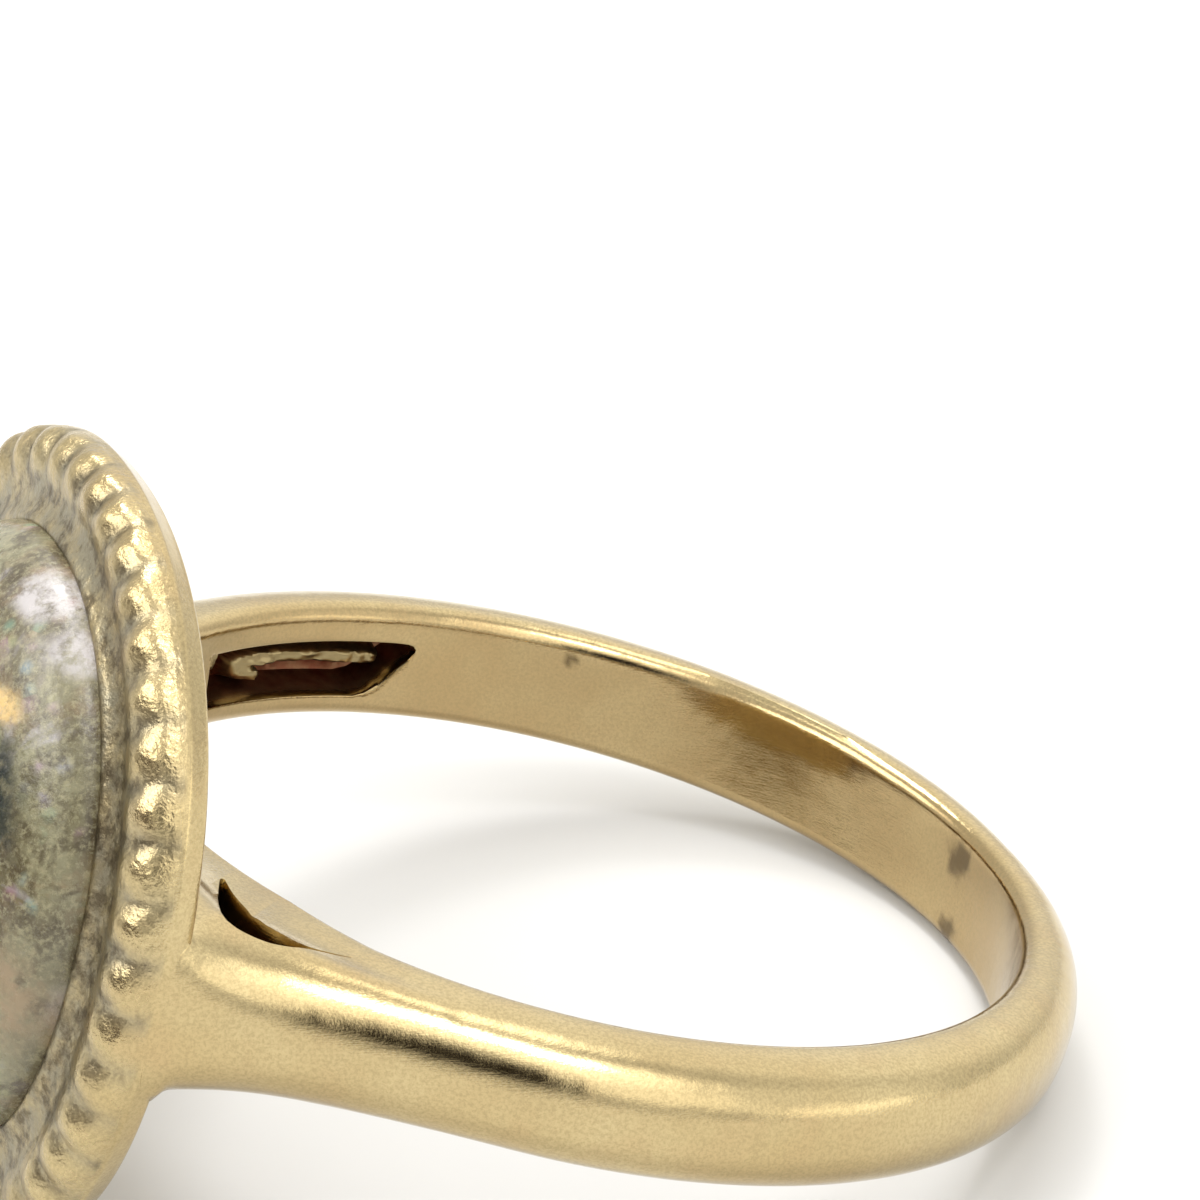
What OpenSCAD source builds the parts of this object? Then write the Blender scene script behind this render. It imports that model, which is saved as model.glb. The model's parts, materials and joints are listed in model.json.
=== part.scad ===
// Opal ring, lying on its side. A gold hoop with hollowed shoulders carries an oval head, whose border
// of rounded flutes slopes up to a high cabochon opal.
// The ring is drawn with the finger axis along Z and its head towards -X. It is then tilted until it lies
// on the lower rim of the head and on the lower edge of the hoop's back.

/* [Hoop] */
// Inner diameter of the hoop
bore_d = 17; // [16:0.5:19]
// Thickness of the hoop at its back, opposite the head
back_t = 0.95; // [0.8:0.05:1.3]
// Thickness of the hoop beside the finger, where the shoulders start
side_t = 1.65; // [1.5:0.05:2]
// Width of the hoop at its back
back_w = 2.3; // [2.1:0.02:2.5]
// Width of the hoop where the shoulders start
side_w = 2.4; // [2.2:0.02:2.6]
// Width of the flat inner face
flat_w = 1.74; // [1.5:0.02:1.9]
// Radial height of the rounded edges beside the inner face
edge_t = 0.36; // [0.25:0.01:0.45]
// Fullness of the outer face, from 2 for an ellipse to 3 for a squarer one
face_n = 2.4; // [2:0.1:3]

/* [Shoulders] */
// Width of the shoulders where they meet the head
shoulder_w = 3.3; // [3:0.1:3.6]
// Width of their flat inner face beside the head
head_flat_w = 2.2; // [2:0.02:2.4]
// Angle from the head at which the shoulders leave the round hoop
shoulder_angle = 64; // [60:1:70]
// Width of the hollow in the inner face of each shoulder
slot_w = 1.16; // [0.9:0.02:1.3]
// Depth of that hollow
slot_depth = 1.05; // [0.8:0.05:1.2]
// Distance of the hollow's middle line below the middle of the hoop
slot_drop = 0.12; // [0:0.02:0.2]
// Angle from the head at which the hollow starts
slot_start = 57; // [54:1:60]
// Angle from the head at which it ends
slot_end = 91; // [80:1:95]
// Greatest thickness of the rail between the finger and the window through each shoulder
rail_t = 1.46; // [1.2:0.02:1.6]
// Greatest width of the window
window_w = 0.9; // [0.6:0.02:1]
// Angle from the head at which the window starts
window_start = 25.5; // [24:0.5:27]
// Angle from the head at which it ends in a point
window_end = 43.5; // [42:0.5:45]

/* [Head] */
// Width of the head across the hoop
head_w = 13.8; // [13.4:0.1:14.2]
// Length of the head along the finger
head_l = 14.1; // [13.7:0.1:14.5]
// Distance from the finger axis to the flat back of the head
back_reach = 9.76; // [9.6:0.02:9.9]
// Rise of the lip round the stone above that back
lip_rise = 1.24; // [1.1:0.02:1.4]
// Fullness of the oval, from 2 for an ellipse to 2.4 for a squarer one
oval_n = 2.15; // [2:0.05:2.4]
// Number of flutes round the border
flutes = 44; // [36:1:48]
// Height of a flute above its grooves
flute_h = 0.2; // [0.1:0.02:0.26]

/* [Opal] */
// Width of the opal across the hoop
opal_w = 10; // [9.4:0.1:10.4]
// Length of the opal along the finger
opal_l = 10.7; // [10.2:0.1:11.2]
// Depth of the opal below the lip
opal_seat = 0.85; // [0.6:0.05:0.9]
// Rise of the opal above the lip
opal_dome = 2.1; // [1.5:0.1:2.8]

/* [Hidden] */

bore_r = bore_d / 2;
// Gap left all round the opal
fit_gap = 0.03;
// Sections round the hoop, and steps over the half of each outer face
hoop_steps = 72;
face_steps = 6;
// Steps over one flute, and round the opal
flute_steps = 4;
opal_steps = 60;
opal_rows = 8;
// The hoop is drawn this far into the bore, which is then cut as a true cylinder
bore_skin = 0.25;
// A chord of the hoop's inner edge stays this far outside the bore
chord_clear = 0.004;
// Angle from the head at which the shoulders' outer faces run into the head
head_angle = 30;
// How steeply the shoulders widen towards the head, and the part of their thickness that widens so
flare = 1.6;
flare_span = [0.25, 0.65];
// Fullness of the outer face where it meets the head, and how steeply it gets there
head_face_n = 4.6;
square_flare = 6;
// Angles from the head over which the inner edges sharpen
sharp_angles = [32, 44];
// Radial height of the inner edges beside the head
head_edge_t = 0.12;
// How far inside the head's back corner the shoulders' outer faces end
shoulder_inset = 0.15;
tarnish_gold = [0.80, 0.70, 0.46];
milky_opal = [0.66, 0.70, 0.62];

function polar(r, a) = [r * cos(a), r * sin(a)];
function mix(p, q, t) = p + (q - p) * t;
function bezier(p, t) =
    mix(mix(mix(p[0], p[1], t), mix(p[1], p[2], t), t), mix(mix(p[1], p[2], t), mix(p[2], p[3], t), t), t);

// The hoop's plane has the head along its first axis and the near side along its second.
// Share of the way from the hoop's back, at 180 degrees, to the start of the shoulders
function round_share(a) = (180 - a) / (180 - shoulder_angle);
function round_t(a) = mix(back_t, side_t, sin(90 * min(1, round_share(a))));
shoulder_foot = polar(bore_r + side_t, shoulder_angle);
shoulder_top = [back_reach + shoulder_inset, head_w / 2 - shoulder_inset];
shoulder_curve = [
    shoulder_foot,
    shoulder_foot + 1.8 * [sin(shoulder_angle), -cos(shoulder_angle)],
    shoulder_top - [1.9, -0.6],
    shoulder_top
];
function outer_point(a) =
    a >= shoulder_angle ? polar(bore_r + round_t(a), a)
    : a > head_angle ? bezier(shoulder_curve, (shoulder_angle - a) / (shoulder_angle - head_angle))
    : [shoulder_top[0], shoulder_top[1] * a / head_angle];
// Share of the way from the start of the shoulders to the head
function shoulder_share(a) = max(0, min(1, (shoulder_angle - a) / (shoulder_angle - head_angle)));
function half_w(a) =
    a >= shoulder_angle ? mix(back_w, side_w, round_share(a)) / 2
    : mix(side_w, shoulder_w, pow(shoulder_share(a), flare)) / 2;
function fullness(a) = mix(face_n, head_face_n, pow(shoulder_share(a), square_flare));
function sharp_at(a) = max(0, min(1, (sharp_angles[1] - a) / (sharp_angles[1] - sharp_angles[0])));
// Rises smoothly from 0 to 1 as t goes from one end of the span to the other
function ease(t, span) = let (x = max(0, min(1, (t - span[0]) / (span[1] - span[0])))) x * x * (3 - 2 * x);

// Half of the section at angle a, t thick: how far each point is from the bore, and its height. The inner
// edge is rounded and as wide as the hoop, and sharper and wider beside the head.
function half_section(a, t) = let (
    sharp = sharp_at(a),
    hw = half_w(a),
    n = fullness(a),
    flat = mix(flat_w, head_flat_w, sharp) / 2,
    edge = mix(edge_t, head_edge_t, sharp),
    edge_hw = min(hw, mix(side_w / 2, head_flat_w / 2 + head_edge_t, sharp))
) concat(
    [[-bore_skin, flat], [0, flat]],
    [for (turn = [45, 90]) [edge * (1 - cos(turn)), mix(flat, edge_hw, sin(turn))]],
    [for (i = [1:face_steps]) let (
        turn = 90 * i / face_steps,
        out = pow(sin(turn), 2 / n),
        wide = mix(edge_hw, hw, ease(out, flare_span))
    ) [mix(edge, t, out), i == face_steps ? 0 : wide * pow(cos(turn), 2 / n)]]
);
function section(a, t) = let (h = half_section(a, t), n = len(h))
    concat(h, [for (i = [n - 2:-1:0]) [h[i][0], -h[i][1]]]);
// Places a section between the bore and the outer face at angle a, which is negative on the far side
function hoop_ring(a) = let (
    inner = polar(bore_r / cos(180 / hoop_steps) + chord_clear, abs(a)),
    outer = outer_point(abs(a)),
    t = norm(outer - inner),
    along = (outer - inner) / t
) [for (s = section(abs(a), t)) let (p = inner + along * s[0]) [-p[0], a < 0 ? p[1] : -p[1], s[1]]];

// Two triangles for each cell of a net whose rows and columns both close up
function closed_net(rows, cols) = [for (i = [0:rows - 1], j = [0:cols - 1]) let (
    a = i * cols + j,
    b = i * cols + (j + 1) % cols,
    c = (i + 1) % rows * cols + (j + 1) % cols,
    d = (i + 1) % rows * cols + j
) each [[a, b, c], [a, c, d]]];

module hoop() {
    rings = [for (i = [0:hoop_steps - 1]) hoop_ring(180 - i * 360 / hoop_steps)];
    polyhedron([for (r = rings) each r], closed_net(hoop_steps, len(rings[0])));
}

// Radius of the oval with half axes w across the hoop and l along the finger, at angle a from across
function oval_r(w, l, a) = pow(pow(abs(cos(a)) / w, oval_n) + pow(abs(sin(a)) / l, oval_n), -1 / oval_n);
// One row for each line round the head: share of the way from the widest line to the lip, across the hoop
// and along the finger, rise as a share of the lip's, and share of a flute's height
border_rows = [
    [0.10, 0.22, 0.00, 0],
    [0.06, 0.17, 0.07, 0],
    [0.03, 0.10, 0.21, 0],
    [0.01, 0.05, 0.34, 0],
    [0.02, 0.05, 0.41, 0.3],
    [0.03, 0.04, 0.52, 0.8],
    [0.08, 0.08, 0.68, 1],
    [0.20, 0.20, 0.82, 1],
    [0.36, 0.36, 0.90, 1],
    [0.52, 0.52, 0.92, 0.6],
    [0.66, 0.66, 0.91, 0],
    [0.79, 0.79, 0.94, 0],
    [0.91, 0.91, 1.02, 0],
    [1.00, 1.00, 1.00, 0]
];
// How much of a flute's height goes outwards, towards the rim
flute_lean = 0.5;
rim_half = [head_w / 2, head_l / 2];
lip_half = [opal_w / 2 + fit_gap, opal_l / 2 + fit_gap];
lip_reach = back_reach + lip_rise;
seat_reach = lip_reach - opal_seat;
ring_steps = flutes * flute_steps;

// Angles that space the flutes evenly along the middle of the border
mid_half = mix(rim_half, lip_half, 0.5);
arc_step = 2;
mid_points = [for (a = [0:arc_step:360]) polar(oval_r(mid_half[0], mid_half[1], a), a)];
function running(v, i = 0, sum = 0) =
    i == len(v) ? [] : concat([sum + v[i]], running(v, i + 1, sum + v[i]));
mid_arcs = concat([0], running([for (i = [1:len(mid_points) - 1]) norm(mid_points[i] - mid_points[i - 1])]));
angle_at = [for (i = [0:len(mid_arcs) - 1]) [mid_arcs[i], i * arc_step]];
ring_angles = [for (i = [0:ring_steps - 1]) lookup(i / ring_steps * mid_arcs[len(mid_arcs) - 1], angle_at)];

function row_half(row) = [mix(rim_half[0], lip_half[0], row[0]), mix(rim_half[1], lip_half[1], row[1])];
function head_line(row) = let (half = row_half(row))
    [for (i = [0:ring_steps - 1]) let (
        a = ring_angles[i],
        lift = flute_h * row[3] * sin(180 * (i % flute_steps) / flute_steps),
        p = polar(oval_r(half[0], half[1], a) + flute_lean * lift, a)
    ) [-(back_reach + lip_rise * row[2] + lift), -p[0], p[1]]];
seat_line = [for (a = ring_angles) let (p = polar(oval_r(lip_half[0], lip_half[1], a), a))
    [-seat_reach, -p[0], p[1]]];

// Triangles over lines of points from a centre at the back, across each line, to a centre at the front
function capped_net(lines, steps) = let (n = lines * steps) concat(
    [for (i = [0:lines - 2], j = [0:steps - 1]) let (
        a = i * steps + j,
        b = i * steps + (j + 1) % steps,
        c = b + steps,
        d = a + steps
    ) each [[a, c, b], [a, d, c]]],
    [for (j = [0:steps - 1]) [n, j, (j + 1) % steps]],
    [for (j = [0:steps - 1]) [n + 1, n - steps + (j + 1) % steps, n - steps + j]]
);

head_lines = concat([for (row = border_rows) head_line(row)], [seat_line]);
module head() {
    polyhedron(
        concat([for (l = head_lines) each l], [[-back_reach, 0, 0], [-seat_reach, 0, 0]]),
        capped_net(len(head_lines), ring_steps)
    );
}

// The hollow in one shoulder's inner face, open to the bore and round at the end away from the head
module slot() {
    round_angle = asin(slot_w / 2 / bore_r);
    translate([0, 0, -slot_drop]) rotate([0, 0, 180 - slot_end + round_angle]) {
        rotate_extrude(angle = slot_end - slot_start - round_angle, $fn = 96)
            translate([bore_r - bore_skin, -slot_w / 2]) square([slot_depth + bore_skin, slot_w]);
        translate([bore_r - bore_skin, 0, 0]) rotate([0, 90, 0])
            cylinder(h = slot_depth + bore_skin, d = slot_w, $fn = 32);
    }
}

// Along the window: share of the way from its start to its end, thickness of the rail as a share of its
// greatest, and width of the window as a share of its greatest
window_rows = [
    [0.00, 0.47, 0.04],
    [0.14, 0.64, 0.27],
    [0.25, 0.75, 0.50],
    [0.36, 0.84, 0.77],
    [0.46, 0.92, 1.00],
    [0.53, 0.97, 0.89],
    [0.60, 1.00, 0.73],
    [0.67, 1.00, 0.59],
    [0.75, 0.98, 0.34],
    [0.79, 0.94, 0.11],
    [0.88, 0.75, 0.03],
    [1.00, 0.57, 0.00]
];
// The window right through one shoulder, between its rail and its outer arm
module window() {
    last = len(window_rows) - 1;
    function at(row, out) =
        polar(bore_r + rail_t * row[1] + window_w * out, mix(window_start, window_end, row[0]));
    rail = [for (row = window_rows) at(row, 0)];
    edge = [for (i = [last - 1:-1:0]) at(window_rows[i], window_rows[i][2])];
    mirror([1, 0, 0]) linear_extrude(2 * shoulder_w, center = true) polygon(concat(rail, edge));
}

module standing_mount() {
    difference() {
        union() {
            hoop();
            head();
        }
        cylinder(h = head_l, r = bore_r, center = true, $fn = 144);
        for (side = [0, 1]) mirror([0, side, 0]) {
            slot();
            window();
        }
    }
}

opal_half = [opal_w / 2, opal_l / 2];
opal_base = seat_reach + fit_gap;
opal_top = lip_reach + opal_dome;
// One line round the opal at each height: its base, its girdle, and rows over the dome
function opal_line(half, reach) = [for (i = [0:opal_steps - 1]) let (
    a = i * 360 / opal_steps,
    p = polar(oval_r(half[0], half[1], a), a)
) [-reach, -p[0], p[1]]];
opal_lines = concat(
    [opal_line(opal_half, opal_base)],
    [for (i = [0:opal_rows - 1]) let (a = 90 * i / opal_rows)
        opal_line(opal_half * cos(a), mix(lip_reach, opal_top, sin(a)))]
);

module standing_opal() {
    polyhedron(
        concat([for (l = opal_lines) each l], [[-opal_base, 0, 0], [-opal_top, 0, 0]]),
        capped_net(len(opal_lines), opal_steps)
    );
}

// Rest: the tilt at which the lowest points of the head and of the hoop's back are equally low
back_points = [for (s = section(180, back_t)) [bore_r + s[0], s[1]]];
rim_points = [for (l = head_lines, p = l) if (p[2] < -rim_half[1] / 2) [p[0], p[2]]];
function lowest(points, tilt) = min([for (p = points) p[1] * cos(tilt) - p[0] * sin(tilt)]);
function rest_tilt(low, high, n = 30) = let (t = (low + high) / 2)
    n == 0 ? t
    : lowest(rim_points, t) < lowest(back_points, t) ? rest_tilt(t, high, n - 1) : rest_tilt(low, t, n - 1);
tilt = rest_tilt(0, 40);
drop = lowest(back_points, tilt);
// Furthest points fore and aft, which set the middle of the ring over the origin
reach_points = concat(back_points, [for (l = opal_lines, p = l) [p[0], p[2]]], [[-opal_top, 0]]);
function spans(points, tilt) = [for (p = points) p[0] * cos(tilt) + p[1] * sin(tilt)];
ring_spans = spans(reach_points, tilt);
middle = (min(ring_spans) + max(ring_spans)) / 2;

module at_rest() {
    translate([-middle, 0, -drop]) rotate([0, tilt, 0]) children();
}

module ring_mount() {
    color(tarnish_gold) at_rest() standing_mount();
}

module opal() {
    color(milky_opal) at_rest() standing_opal();
}

ring_mount();
opal();
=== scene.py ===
"""An opal ring lying on its side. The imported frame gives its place, and this script its looks.

Lengths are in millimetres in the ring's own axes until the meshes are made: h towards the head,
n towards the near side and f along the finger. Angles round the hoop are in degrees from the head.
"""

import json
import math

import bmesh
import bpy
import numpy as np
from mathutils import Matrix


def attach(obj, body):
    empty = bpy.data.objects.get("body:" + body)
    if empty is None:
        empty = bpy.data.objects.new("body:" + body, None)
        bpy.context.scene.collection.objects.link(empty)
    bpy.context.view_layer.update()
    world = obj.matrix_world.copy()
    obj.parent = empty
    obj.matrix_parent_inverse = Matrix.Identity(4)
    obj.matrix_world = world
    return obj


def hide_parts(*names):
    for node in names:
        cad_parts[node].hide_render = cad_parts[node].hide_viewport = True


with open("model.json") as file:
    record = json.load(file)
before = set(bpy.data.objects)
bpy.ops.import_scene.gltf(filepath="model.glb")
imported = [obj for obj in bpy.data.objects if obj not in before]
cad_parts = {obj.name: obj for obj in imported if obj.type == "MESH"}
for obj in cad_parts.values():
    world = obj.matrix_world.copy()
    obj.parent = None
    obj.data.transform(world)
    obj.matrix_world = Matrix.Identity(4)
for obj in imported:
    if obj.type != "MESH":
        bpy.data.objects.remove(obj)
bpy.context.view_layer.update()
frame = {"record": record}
MM = 0.001

# The finger hole's place and direction say how the ring lies
hole = next(m for m in frame["record"]["mounts"] if m["name"] == "finger_hole")
TILT = math.atan2(hole["axis"][0], hole["axis"][2])
TURN = np.array([
    [math.cos(TILT), 0, math.sin(TILT)],
    [0, 1, 0],
    [-math.sin(TILT), 0, math.cos(TILT)],
])
CENTRE = np.array(hole["pos_m"])
# Signs of h, n and f along the frame's x, y and z, before the tilt
SIGNS = np.array([-1, -1, 1])


def to_world(hnf):
    """Points in metres, as they lie, from points (h, n, f) in the ring's axes."""
    p = np.asarray(hnf, float)
    return (p * SIGNS) @ TURN.T * MM + CENTRE


def to_ring(xyz):
    """Points (h, n, f) in the ring's axes, from points in metres, as they lie."""
    p = (np.asarray(xyz, float) - CENTRE) / MM @ TURN
    return p * SIGNS


def mix(a, b, t):
    return a + (b - a) * t


def smooth(x, low, high):
    """A soft step from 0 at low to 1 at high."""
    t = np.clip((x - low) / (high - low), 0, 1)
    return t * t * (3 - 2 * t)


def unit(deg):
    return np.array([math.cos(math.radians(deg)), math.sin(math.radians(deg))])


def waves(p, pitch, seed, octaves=3):
    """Smooth repeatable unevenness between about -1 and 1 at points p, with bumps pitch apart."""
    each, finer, weaker = 5, 1.9, 1.7
    rng = np.random.default_rng(seed)
    total = np.zeros(len(p))
    for k in range(octaves):
        for _ in range(each):
            way = rng.normal(size=p.shape[1])
            way *= 2 * math.pi / (pitch / finer**k) / np.linalg.norm(way)
            total += np.sin(p @ way + rng.uniform(0, 2 * math.pi)) / weaker**k
    return total / each


def outward(line):
    """Unit normals of a closed line in a plane, pointing out of it."""
    way = np.roll(line, -1, axis=0) - np.roll(line, 1, axis=0)
    normal = np.column_stack([way[:, 1], -way[:, 0]])
    normal /= np.linalg.norm(normal, axis=1)[:, None] + 1e-9
    return -normal if (normal * (line - line.mean(0))).sum() < 0 else normal


def solid(name, points, faces):
    """A closed mesh piece from points in the ring's axes."""
    mesh = bpy.data.meshes.new(name)
    mesh.from_pydata(to_world(points).tolist(), [], [list(map(int, f)) for f in faces])
    work = bmesh.new()
    work.from_mesh(mesh)
    bmesh.ops.recalc_face_normals(work, faces=work.faces)
    work.to_mesh(mesh)
    work.free()
    piece = bpy.data.objects.new(name, mesh)
    bpy.context.scene.collection.objects.link(piece)
    return piece


def closed_net(rows, cols, close_rows):
    """Faces between rows of closed lines. close_rows also joins the last row to the first."""
    last = rows if close_rows else rows - 1
    i, j = np.meshgrid(np.arange(last), np.arange(cols), indexing="ij")
    up, on = (i + 1) % rows, (j + 1) % cols
    corners = i * cols + j, i * cols + on, up * cols + on, up * cols + j
    return np.stack(corners, -1).reshape(-1, 4).tolist()


def capped(lines, first, last):
    """Points and faces of closed lines from a centre at one end to a centre at the other."""
    rows, cols = lines.shape[:2]
    n = rows * cols
    faces = closed_net(rows, cols, False)
    faces += [[n, j, (j + 1) % cols] for j in range(cols)]
    faces += [[n + 1, n - cols + (j + 1) % cols, n - cols + j] for j in range(cols)]
    return np.concatenate([lines.reshape(-1, 3), [first], [last]]), faces


def combine(piece, other, operation):
    """Join the other piece to this one, or cut it away, and remove it."""
    step = piece.modifiers.new("combine", "BOOLEAN")
    step.operation, step.solver, step.object = operation, "MANIFOLD", other
    bpy.context.view_layer.objects.active = piece
    bpy.ops.object.modifier_apply(modifier=step.name)
    bpy.data.objects.remove(other)


# Sizes, as in the part's source
BORE_R = 8.5
BACK_T, SIDE_T = 0.95, 1.65
BACK_W, SIDE_W, FLAT_W, SHOULDER_W, HEAD_FLAT_W = 2.3, 2.4, 1.74, 3.3, 2.2
EDGE_T, HEAD_EDGE_T = 0.36, 0.12
FLARE, FLARE_SPAN, FACE_N, HEAD_FACE_N, SQUARE_FLARE = 1.6, (0.25, 0.65), 2.4, 4.6, 6
SHOULDER_ANGLE, HEAD_ANGLE, SHARP_ANGLES = 64, 30, (32, 44)
SLOT_W, SLOT_DEPTH, SLOT_DROP, SLOT_START, SLOT_END = 1.16, 1.05, 0.12, 57, 91
RAIL_T, WINDOW_W, WINDOW_START, WINDOW_END = 1.46, 0.9, 25.5, 43.5
HEAD_HALF = np.array([6.9, 7.05])
BACK_REACH, LIP_RISE, OVAL_N = 9.76, 1.24, 2.15
FLUTES, FLUTE_H = 44, 0.11
OPAL_HALF = np.array([5.0, 5.35])
OPAL_SEAT, OPAL_DOME, FIT_GAP = 0.85, 2.1, 0.03
LIP_HALF = OPAL_HALF + 0.01
LIP_REACH = BACK_REACH + LIP_RISE
SEAT_REACH = LIP_REACH - OPAL_SEAT
MM_A_DEGREE = BORE_R * math.pi / 180

# ---- the hoop and its shoulders ----
# The outer face's middle line leaves the hoop at the shoulder's foot and ends inside the head's
# rim. The pulls bend it there: along its own direction at the foot, and as (h, n) at the top.
TOP_RISE, TOP_INSET = 0.46, 0.015
FOOT_PULL, TOP_PULL = 1.8, (2.2, -0.46)
foot_way = unit(SHOULDER_ANGLE)
shoulder_foot = (BORE_R + SIDE_T) * foot_way
shoulder_top = np.array([BACK_REACH + TOP_RISE, HEAD_HALF[0] - TOP_INSET])
shoulder_curve = [
    shoulder_foot,
    shoulder_foot + FOOT_PULL * np.array([foot_way[1], -foot_way[0]]),
    shoulder_top - TOP_PULL,
    shoulder_top,
]


def bezier(p, t):
    s = 1 - t
    return s**3 * p[0] + 3 * s * s * t * p[1] + 3 * s * t * t * p[2] + t**3 * p[3]


def outer_point(a):
    """Point of the outer face's middle line at angle a, as (h, n)."""
    if a >= SHOULDER_ANGLE:
        share = (180 - a) / (180 - SHOULDER_ANGLE)
        return (BORE_R + mix(BACK_T, SIDE_T, math.sin(math.pi / 2 * share))) * unit(a)
    if a > HEAD_ANGLE:
        return bezier(shoulder_curve, (SHOULDER_ANGLE - a) / (SHOULDER_ANGLE - HEAD_ANGLE))
    return np.array([shoulder_top[0], shoulder_top[1] * a / HEAD_ANGLE])


def shoulder_share(a):
    """How far up the shoulder angle a is, from 0 at its foot to 1 at the head."""
    return min(1, max(0, (SHOULDER_ANGLE - a) / (SHOULDER_ANGLE - HEAD_ANGLE)))


def half_width(a):
    """Half the hoop's greatest width at angle a."""
    if a >= SHOULDER_ANGLE:
        return mix(BACK_W, SIDE_W, (180 - a) / (180 - SHOULDER_ANGLE)) / 2
    return mix(SIDE_W, SHOULDER_W, shoulder_share(a) ** FLARE) / 2


def sharp_at(a):
    """How far the inner face's edges have sharpened towards the head's, at angle a."""
    return min(1, max(0, (SHARP_ANGLES[1] - a) / (SHARP_ANGLES[1] - SHARP_ANGLES[0])))


# The round at the hollow's edge, the lean of its walls and the round at their foot. They shrink
# where the hollow is narrower than SLOT_FULL_W, and the lower edge is rounder along the slant.
SLOT_LIP, SLOT_DRAFT, SLOT_FILLET, SLOT_FULL_W = 0.05, 0.05, 0.16, 0.7
SLANT_LIP, SLANT_ANGLES = 0.09, (84, 86.5)
# The hollow's least width, and how its two lines of points part again beyond its ends
SLOT_LEAST_W, ROW_GAP, ROW_SPREAD = 0.03, 0.01, 0.8
# Lower and upper edges of the hollow, as angle and height. It starts square and ends in a slant.
SLOT_LOW, SLOT_HIGH = -SLOT_DROP - SLOT_W / 2, -SLOT_DROP + SLOT_W / 2
LOW_EDGE = np.array([
    [SLOT_START - 0.4, 0.40], [SLOT_START + 0.1, 0.05], [SLOT_START + 0.8, -0.55],
    [SLOT_START + 1.3, SLOT_LOW], [83.5, SLOT_LOW], [85.2, -0.62], [87.0, -0.42],
    [89.0, -0.05], [90.4, 0.16], [SLOT_END, 0.32],
])
HIGH_EDGE = np.array([
    [SLOT_START - 0.4, 0.43], [SLOT_START + 0.2, SLOT_HIGH], [89.8, SLOT_HIGH],
    [90.6, 0.43], [SLOT_END, 0.36],
])
# Middle line of the ridge in the hollow, as angle and height: it runs along the middle and hooks
# down at the head's end, where it is lower. Beyond the hook a shelf stands on the bottom.
RIDGE = np.array([
    [86.5, -0.06], [80.0, -0.03], [73.5, -0.02], [68.2, -0.07],
    [66.4, -0.20], [66.8, -0.36], [69.2, -0.42],
])
RIDGE_H, RIDGE_HALF_W, HOOK_SHARE, HOOK_ANGLES = 0.66, 0.20, 0.8, (66, 71)
SHELF_H, SHELF_ANGLE, SHELF_RAMP, SHELF_HEIGHTS = 0.5, 63.6, 1.2, (-0.42, -0.22)
CASTING_H, CASTING_PITCH = 0.07, 0.45


def slot_edges(a):
    """Lower and upper edge of the hollow at angle a, and whether a is inside it."""
    beyond = max(LOW_EDGE[0, 0] - a, a - SLOT_END) * MM_A_DEGREE
    low, high = np.interp(a, *LOW_EDGE.T), np.interp(a, *HIGH_EDGE.T)
    if beyond >= 0:
        low = max(SLOT_LOW, low - ROW_SPREAD * beyond - ROW_GAP)
        return low, min(SLOT_HIGH, high + ROW_SPREAD * beyond + ROW_GAP), 0
    return low, max(high, low + SLOT_LEAST_W), 1


def floor_relief(a, f):
    """How far the hollow's bottom stands up at angles a and heights f: ridge, shelf and casting."""
    spot = np.stack([a * MM_A_DEGREE, f], -1)
    line = RIDGE * [MM_A_DEGREE, 1]
    away = np.full(len(spot), np.inf)
    for p, q in zip(line, line[1:]):
        t = np.clip(((spot - p) @ (q - p)) / ((q - p) @ (q - p)), 0, 1)
        away = np.minimum(away, np.linalg.norm(spot - p - t[:, None] * (q - p), axis=1))
    ridge = RIDGE_H * np.sqrt(np.clip(1 - (away / RIDGE_HALF_W) ** 4, 0, 1))
    ridge = ridge * mix(HOOK_SHARE, 1, smooth(a, *HOOK_ANGLES))
    shelf = SHELF_H * smooth(SHELF_ANGLE - a, 0, SHELF_RAMP) * smooth(f, *SHELF_HEIGHTS)
    rough = CASTING_H * waves(np.column_stack([spot, 0 * f]), CASTING_PITCH, 3)
    return np.maximum(ridge, shelf) + rough


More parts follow.
